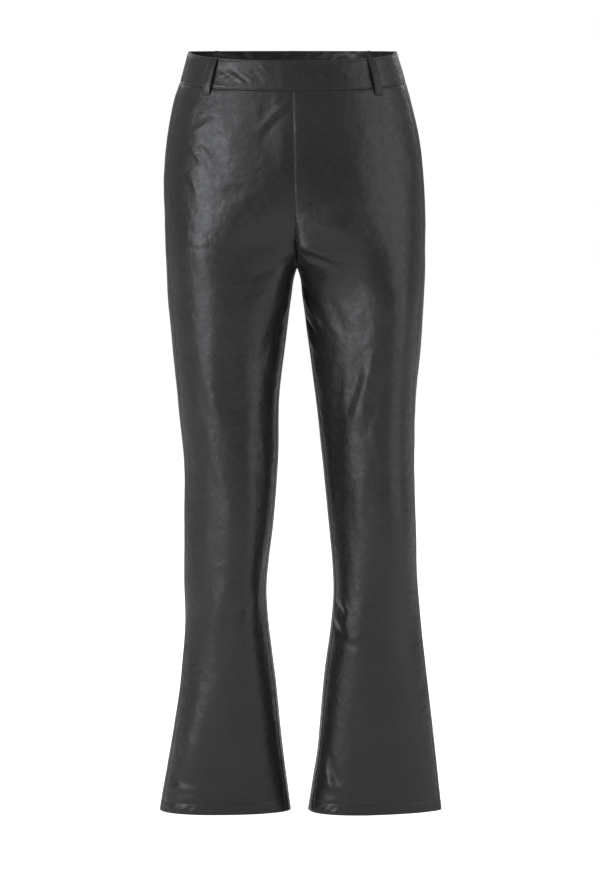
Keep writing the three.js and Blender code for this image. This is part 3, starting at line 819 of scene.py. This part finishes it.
def row_line(points, row, columns=slice(None)):
    """One row of a grid, as a path with its outward directions."""
    return points[row, columns], grid_normals(points)[row, columns]


# ---- Materials ----

def material(name):
    made = bpy.data.materials.new(name)
    made.use_nodes = True
    tree = made.node_tree
    tree.nodes.clear()
    out = tree.nodes.new("ShaderNodeOutputMaterial")
    shader = tree.nodes.new("ShaderNodeBsdfPrincipled")
    tree.links.new(shader.outputs["BSDF"], out.inputs["Surface"])
    return made, tree, shader


def add_node(tree, kind, **settings):
    node = tree.nodes.new(kind)
    for key, value in settings.items():
        if key in node.inputs:
            node.inputs[key].default_value = value
        else:
            setattr(node, key, value)
    return node


def spread(tree, source, low, high, start=0.3, end=0.7):
    """A value brought from the range start to end into the range low to high."""
    node = add_node(tree, "ShaderNodeMapRange")
    for key, value in (("From Min", start), ("From Max", end), ("To Min", low), ("To Max", high)):
        node.inputs[key].default_value = value
    tree.links.new(source, node.inputs["Value"])
    return node.outputs["Result"]


def mixed(tree, share, first, second):
    """A colour between two, by a share."""
    node = add_node(tree, "ShaderNodeMix", data_type="RGBA")
    for index, colour in ((6, first), (7, second)):
        if isinstance(colour, tuple):
            node.inputs[index].default_value = (*colour, 1)
        else:
            tree.links.new(colour, node.inputs[index])
    tree.links.new(share, node.inputs[0])
    return node.outputs[2]


def faux_leather(name, colour, roughness, crinkle_depth, grain_depth):
    """Coated cloth: fine pebbled grain, a soft crinkle, and a coat that is worn a little duller
    and paler in patches."""
    made, tree, shader = material(name)
    link = tree.links.new
    place = add_node(tree, "ShaderNodeTexCoord")
    grain = add_node(tree, "ShaderNodeTexVoronoi", feature="SMOOTH_F1", Scale=780.0)
    crinkle = add_node(tree, "ShaderNodeTexNoise", Scale=120.0, Detail=2.0, Roughness=0.45)
    soft = add_node(tree, "ShaderNodeTexNoise", Scale=34.0, Detail=2.0, Roughness=0.5)
    blotch = add_node(tree, "ShaderNodeTexNoise", Scale=13.0, Detail=3.0)
    for node in (grain, crinkle, soft, blotch):
        link(place.outputs["Object"], node.inputs["Vector"])
    tone = mixed(tree, spread(tree, blotch.outputs["Fac"], 0.0, 1.0),
                 tuple(c * 0.88 for c in colour), tuple(c * 1.12 for c in colour))
    tone = mixed(tree, spread(tree, grain.outputs["Distance"], 0.0, 0.18, 0.2, 0.7), tone,
                 tuple(c * 0.55 for c in colour))
    link(tone, shader.inputs["Base Color"])
    link(spread(tree, crinkle.outputs["Fac"], roughness - 0.06, roughness + 0.07),
         shader.inputs["Roughness"])
    lowest = add_node(tree, "ShaderNodeBump", Strength=0.22, Distance=0.004)
    link(soft.outputs["Fac"], lowest.inputs["Height"])
    first = add_node(tree, "ShaderNodeBump", Strength=crinkle_depth, Distance=0.0012)
    link(crinkle.outputs["Fac"], first.inputs["Height"])
    link(lowest.outputs["Normal"], first.inputs["Normal"])
    second = add_node(tree, "ShaderNodeBump", Strength=grain_depth, Distance=0.0002)
    link(grain.outputs["Distance"], second.inputs["Height"])
    link(first.outputs["Normal"], second.inputs["Normal"])
    link(second.outputs["Normal"], shader.inputs["Normal"])
    shader.inputs["IOR"].default_value = 1.5
    return made


def knit_backing(name, colour):
    """Brushed knit on the wrong side: fine ribs, rough and soft."""
    made, tree, shader = material(name)
    link = tree.links.new
    place = add_node(tree, "ShaderNodeTexCoord")
    ribs = add_node(tree, "ShaderNodeTexWave", bands_direction="X", Scale=210.0, Distortion=1.2)
    loops = add_node(tree, "ShaderNodeTexWave", bands_direction="Z", Scale=260.0, Distortion=1.2)
    fuzz = add_node(tree, "ShaderNodeTexNoise", Scale=420.0, Detail=4.0)
    for node in (ribs, loops, fuzz):
        link(place.outputs["Object"], node.inputs["Vector"])
    height = add_node(tree, "ShaderNodeMath", operation="ADD")
    link(ribs.outputs["Fac"], height.inputs[0])
    link(loops.outputs["Fac"], height.inputs[1])
    tone = mixed(tree, spread(tree, fuzz.outputs["Fac"], 0.0, 1.0),
                 tuple(c * 0.7 for c in colour), tuple(c * 1.3 for c in colour))
    link(tone, shader.inputs["Base Color"])
    bump = add_node(tree, "ShaderNodeBump", Strength=0.5, Distance=0.0004)
    link(height.outputs[0], bump.inputs["Height"])
    link(bump.outputs["Normal"], shader.inputs["Normal"])
    shader.inputs["Roughness"].default_value = 0.95
    shader.inputs["Sheen Weight"].default_value = 0.35
    return made


def spun_thread(name, colour):
    made, tree, shader = material(name)
    place = add_node(tree, "ShaderNodeTexCoord")
    twist = add_node(tree, "ShaderNodeTexNoise", Scale=2600.0, Detail=2.0)
    tree.links.new(place.outputs["Object"], twist.inputs["Vector"])
    tone = mixed(tree, spread(tree, twist.outputs["Fac"], 0.0, 1.0),
                 tuple(c * 0.6 for c in colour), tuple(c * 1.4 for c in colour))
    tree.links.new(tone, shader.inputs["Base Color"])
    shader.inputs["Roughness"].default_value = 0.6
    shader.inputs["Sheen Weight"].default_value = 0.2
    return made


LEATHER = faux_leather("faux_leather", (0.0225, 0.0227, 0.0238), 0.33, 0.45, 0.25)
# The belt loops take the same leather with a darker base colour: painted shade, standing in for the
# shade their faces are turned into.
LOOP_PAINTED_SHADE_LEATHER = faux_leather("belt_loop_leather_painted_shade", (0.013, 0.013, 0.0138), 0.4, 0.35, 0.4)
INSIDE = faux_leather("facing", (0.03, 0.027, 0.033), 0.44, 0.5, 0.3)
BACKING = knit_backing("backing", (0.03, 0.03, 0.032))
THREAD = spun_thread("thread", (0.03, 0.03, 0.031))


# ---- The garment ----

def finish_piece(piece, materials, node=None):
    for made in materials:
        piece.data.materials.append(made)
    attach(piece, "root")
    if node:
        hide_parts(node)


def finish_cloth(piece, node, materials):
    """Gives a cloth piece its materials, hangs it on the root and hides its solid."""
    finish_piece(piece, materials, node)


folds = len(ALLOWANCE_STEPS)
hem_lines, waist_lines = [], []
for _leg in (RIGHT, LEFT):
    for _face in (FRONT, BACK):
        _grid, (_outer, _inner) = panel_layers(_leg, _face)
        _panel = shell(f"{_face}_panel_{_leg}", _outer, _inner)
        finish_cloth(_panel, f"{_face}_{_leg}", (LEATHER, BACKING))
        _plain = _outer[:, folds:-folds]
        _row = int(np.argmin(np.abs(_grid.to_hem - HEM_STITCH)))
        hem_lines.append(row_line(_plain, _row, slice(4, -4)))
    finish_cloth(make_hem(_leg), f"hem_turn_up_{_leg}", (INSIDE, INSIDE))
for _face, _length in ((FRONT, 0.36), (BACK, 0.457)):
    _band, _outer = make_waistband(_face)
    finish_cloth(_band, f"waistband_{_face}", (LEATHER, INSIDE))
    for _drop in (BAND_STITCH, BAND_HEIGHT - BAND_STITCH):
        _row = int(np.argmin(np.abs(BAND_SHARES * BAND_HEIGHT - _drop)))
        waist_lines.append(row_line(_outer, _row, slice(3, -3)))
finish_cloth(make_facing(), "waistband_back_facing", (INSIDE, INSIDE))
for _name in LOOP_PLACES:
    _loop, _outer = make_loop(_name)
    finish_cloth(_loop, f"belt_loop_{_name}", (LOOP_PAINTED_SHADE_LEATHER, INSIDE))
    for _column in (4, 12):
        waist_lines.append(row_line(_outer.transpose(1, 0, 2), _column, slice(4, -4)))
finish_piece(make_stitching("hem_stitching", hem_lines), (THREAD,))
finish_piece(make_stitching("waistband_stitching", waist_lines), (THREAD,))


# ---- Studio ----

def area_light(name, size, place, aim, power, colour=(1, 1, 1)):
    data = bpy.data.lights.new(name, "AREA")
    data.shape = "RECTANGLE"
    data.size, data.size_y = size
    data.energy = power
    data.color = colour
    light = bpy.data.objects.new(name, data)
    bpy.context.scene.collection.objects.link(light)
    light.location = place
    light.rotation_mode = "QUATERNION"
    light.rotation_quaternion = (Vector(aim) - Vector(place)).to_track_quat("-Z", "Y")
    light.visible_camera = False


FLOOR_DROP = 0.02  # below the hems
FLOOR_REACH = 20


def stage_floor():
    mesh = bpy.data.meshes.new("floor")
    z = HEM_Z * MM - FLOOR_DROP
    corners = [(-1, -1), (1, -1), (1, 1), (-1, 1)]
    mesh.from_pydata([(x * FLOOR_REACH, y * FLOOR_REACH, z) for x, y in corners], [], [(0, 1, 2, 3)])
    floor = bpy.data.objects.new("floor", mesh)
    bpy.context.scene.collection.objects.link(floor)
    made, tree, shader = material("pale_floor")
    shader.inputs["Base Color"].default_value = (0.78, 0.78, 0.78, 1)
    shader.inputs["Roughness"].default_value = 1.0
    shader.inputs["Emission Color"].default_value = (1, 1, 1, 1)
    seen = add_node(tree, "ShaderNodeLightPath")
    glow = add_node(tree, "ShaderNodeMapRange")
    glow.inputs["To Min"].default_value, glow.inputs["To Max"].default_value = 0.16, 1.0
    tree.links.new(seen.outputs["Is Camera Ray"], glow.inputs["Value"])
    tree.links.new(glow.outputs["Result"], shader.inputs["Emission Strength"])
    mesh.materials.append(made)


WORLD_FRONT = 0.17
WORLD_BACK = 0.25
WORLD_ABOVE = 0.2


def studio_world():
    """White where the camera looks past the trousers. As light, it is a soft grey that is darker
    in front of them than behind."""
    world = bpy.data.worlds.new("studio")
    bpy.context.scene.world = world
    world.use_nodes = True
    tree = world.node_tree
    backdrop = tree.nodes["Background"]
    backdrop.inputs["Color"].default_value = (1, 1, 1, 1)
    place = add_node(tree, "ShaderNodeTexCoord")
    parts = add_node(tree, "ShaderNodeSeparateXYZ")
    shade = add_node(tree, "ShaderNodeMapRange", interpolation_type="SMOOTHSTEP")
    shade.inputs["From Min"].default_value, shade.inputs["From Max"].default_value = -0.6, 0.6
    shade.inputs["To Min"].default_value = WORLD_FRONT
    shade.inputs["To Max"].default_value = WORLD_BACK
    above = add_node(tree, "ShaderNodeMapRange", interpolation_type="SMOOTHSTEP")
    above.inputs["From Min"].default_value, above.inputs["From Max"].default_value = 0.05, 0.7
    above.inputs["To Min"].default_value, above.inputs["To Max"].default_value = 0, WORLD_ABOVE
    both = add_node(tree, "ShaderNodeMath", operation="ADD")
    seen = add_node(tree, "ShaderNodeLightPath")
    glow = add_node(tree, "ShaderNodeMix", data_type="FLOAT")
    glow.inputs[3].default_value = 1.0
    tree.links.new(place.outputs["Generated"], parts.inputs["Vector"])
    tree.links.new(parts.outputs["Y"], shade.inputs["Value"])
    tree.links.new(parts.outputs["Z"], above.inputs["Value"])
    tree.links.new(shade.outputs["Result"], both.inputs[0])
    tree.links.new(above.outputs["Result"], both.inputs[1])
    tree.links.new(both.outputs[0], glow.inputs[2])
    tree.links.new(seen.outputs["Is Camera Ray"], glow.inputs[0])
    tree.links.new(glow.outputs[0], backdrop.inputs["Strength"])


studio_world()
stage_floor()

COOL = (0.95, 0.97, 1.0)
area_light("key_high", (1.9, 1.5), (-2.95, -1.9, 0.75), (0, 0, 0.75), 37, COOL)
area_light("key_low", (1.9, 1.0), (-2.95, -1.9, -0.5), (0, 0, -0.5), 13, COOL)
area_light("upper_front", (2.0, 1.4), (-1.75, -3.1, 1.15), (0, 0, 0.2), 7.5, COOL)
area_light("kicker", (0.7, 0.7), (-1.7, -2.4, 2.1), (0, 0, -0.1), 7, COOL)
area_light("right_fill", (2.2, 2.2), (2.3, -0.9, 0.2), (0, 0, -0.4), 16)
area_light("back_key", (1.5, 1.5), (-1.3, 2.6, 1.6), (0, 0, -0.4), 13, COOL)
area_light("back_fill", (1.2, 1.2), (1.7, 2.3, 1.2), (0, 0, -0.4), 5)

# Camera: a long way off, at the height that shows the inside of the back waistband
CAMERA_X = 0.010
CAMERA_AWAY = 4.0
CAMERA_Z = -0.445
AIM_Z = -0.5285
FRAME_HEIGHT = 870
MM_A_POINT = 1.38  # on the trousers, for one point of the frame
camera_data = bpy.data.cameras.new("camera")
camera = bpy.data.objects.new("camera", camera_data)
bpy.context.scene.collection.objects.link(camera)
camera.location = (CAMERA_X, -CAMERA_AWAY, CAMERA_Z)
camera.rotation_euler = (math.pi / 2 - math.atan((CAMERA_Z - AIM_Z) / CAMERA_AWAY), 0, 0)
camera_data.sensor_fit = "AUTO"
camera_data.lens = camera_data.sensor_width * CAMERA_AWAY / (FRAME_HEIGHT * MM_A_POINT * MM)
bpy.context.scene.camera = camera
bpy.context.scene.view_settings.view_transform = "Standard"
